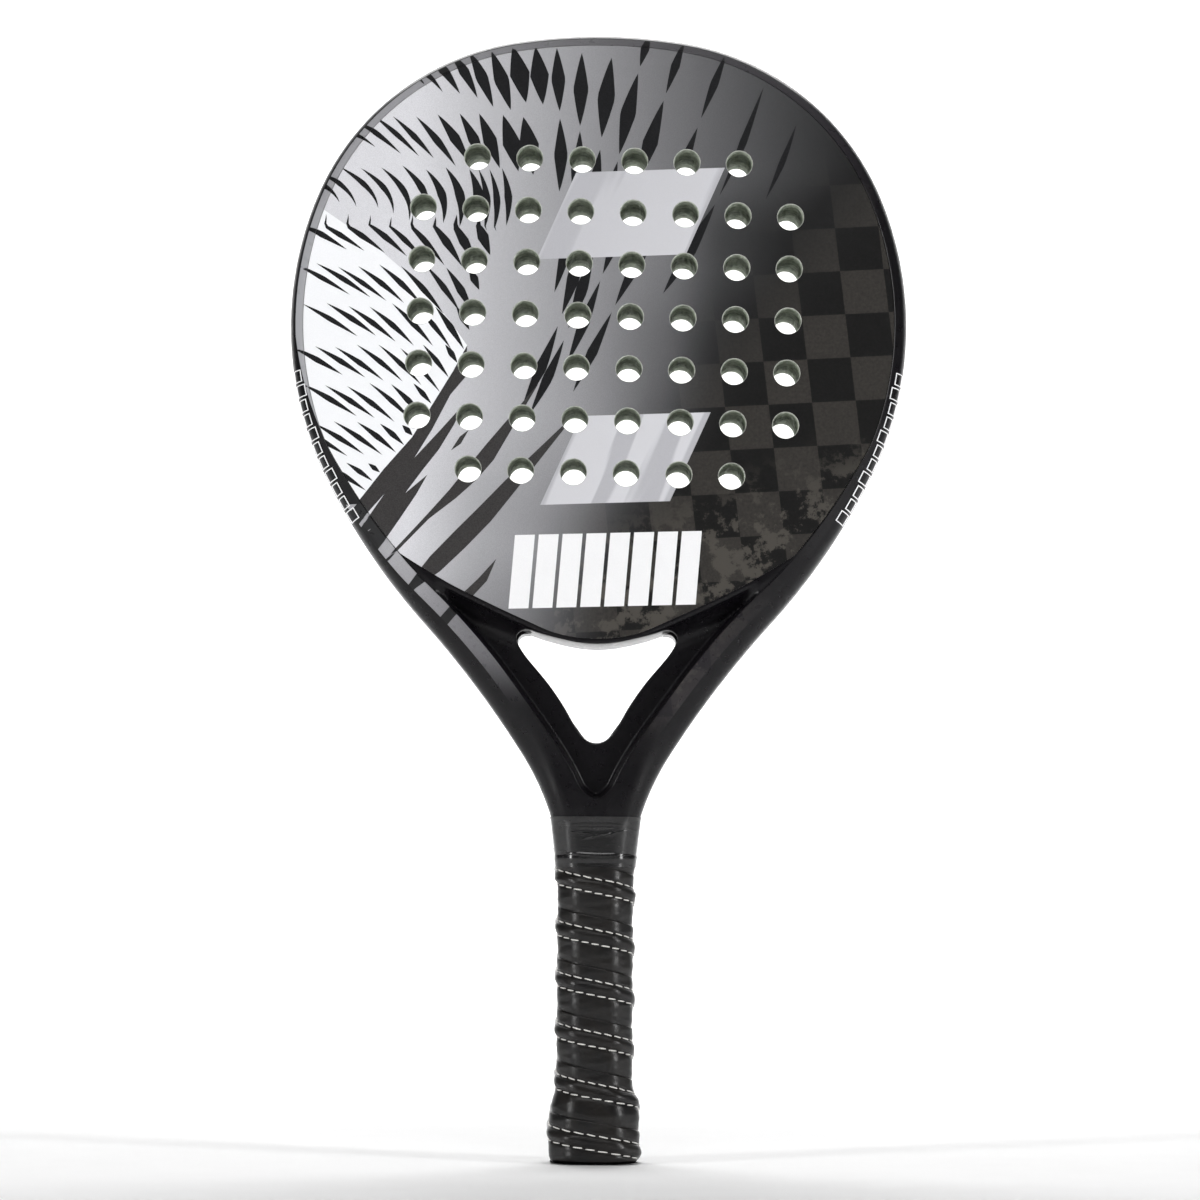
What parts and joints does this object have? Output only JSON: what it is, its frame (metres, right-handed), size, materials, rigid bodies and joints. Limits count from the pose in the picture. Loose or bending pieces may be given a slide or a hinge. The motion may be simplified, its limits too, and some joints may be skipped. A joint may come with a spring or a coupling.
{
  "type": "padel racket",
  "caption": "Teardrop padel racket: drilled foam-cored head in a moulded tubular frame, open throat and a leather-wrapped handle with a wrist cord hole.",
  "frame": {"origin": "centre of the butt end, at the mouth of the wrist cord hole in the butt cap", "axes": "+Z along the handle from the butt to the crown of the head, +X across the face to the right seen from the front, front face towards -Y"},
  "size_m": [0.2494, 0.038, 0.455],
  "materials": {
    "frame_lacquer": "satin black lacquer over moulded carbon",
    "bridge_lacquer": "satin black lacquer over moulded carbon",
    "web_lacquer": "satin black lacquer over moulded carbon",
    "front_print": "printed carbon sheet, silver to black, satin clear coat",
    "rear_print": "printed carbon sheet, silver to black, satin clear coat",
    "glass_ply": "resin-wetted glass cloth, translucent",
    "eva_foam": "grey-green closed-cell foam, cut surface",
    "filler_foam": "rigid polyurethane foam",
    "pallet_plastic": "moulded structural foam",
    "cap_plastic": "fine-grained moulded plastic",
    "staple_steel": "galvanised wire",
    "underlay_foam": "thin felt-backed foam",
    "grip_leather": "smooth synthetic leather with white stitching",
    "collar_tape": "stretched glossy vinyl tape"
  },
  "bodies": {
    "root": {"frame_tube": "frame_lacquer", "bridge_tube": "bridge_lacquer", "bridge_foam": "filler_foam", "core_foam": "eva_foam", "front_glass_ply": "glass_ply", "rear_glass_ply": "glass_ply", "front_carbon_face": "front_print", "rear_carbon_face": "rear_print", "throat_foam": "filler_foam", "throat_front_skin": "web_lacquer", "throat_rear_skin": "web_lacquer", "heart_block": "frame_lacquer", "handle_foam": "filler_foam", "front_pallet": "pallet_plastic", "rear_pallet": "pallet_plastic", "butt_cap": "cap_plastic", "cap_staples": "staple_steel", "grip_underlay": "underlay_foam", "grip_wrap": "grip_leather", "collar_tape": "collar_tape"}
  },
  "joints": []
}
